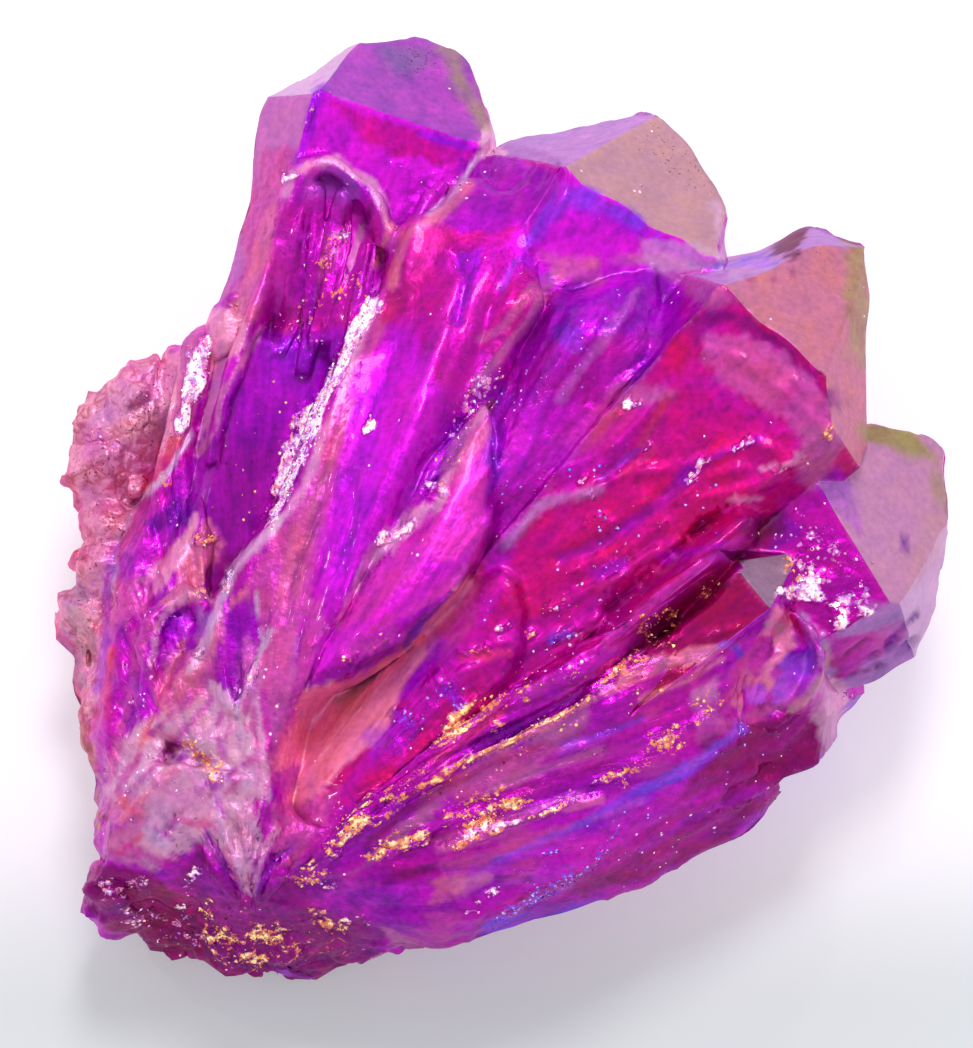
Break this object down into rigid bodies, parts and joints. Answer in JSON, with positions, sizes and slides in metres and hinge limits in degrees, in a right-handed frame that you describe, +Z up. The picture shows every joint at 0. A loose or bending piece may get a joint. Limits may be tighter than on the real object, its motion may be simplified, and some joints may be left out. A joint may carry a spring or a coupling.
{
  "type": "titanium-coated quartz cluster",
  "caption": "Fan of large six-sided quartz points grown from one broken root, lying on its side, with an iridescent magenta coating.",
  "frame": {"origin": "on the surface that the cluster rests on, under the middle of its box", "axes": "+Z up from that surface; the root is at low X and low Y, and the points fan out towards +Y and +X"},
  "size_m": [0.091, 0.0954, 0.0383],
  "materials": {
    "coated_quartz": "glossy iridescent magenta coating on quartz"
  },
  "bodies": {
    "root": {"quartz_cluster": "coated_quartz"}
  },
  "joints": []
}
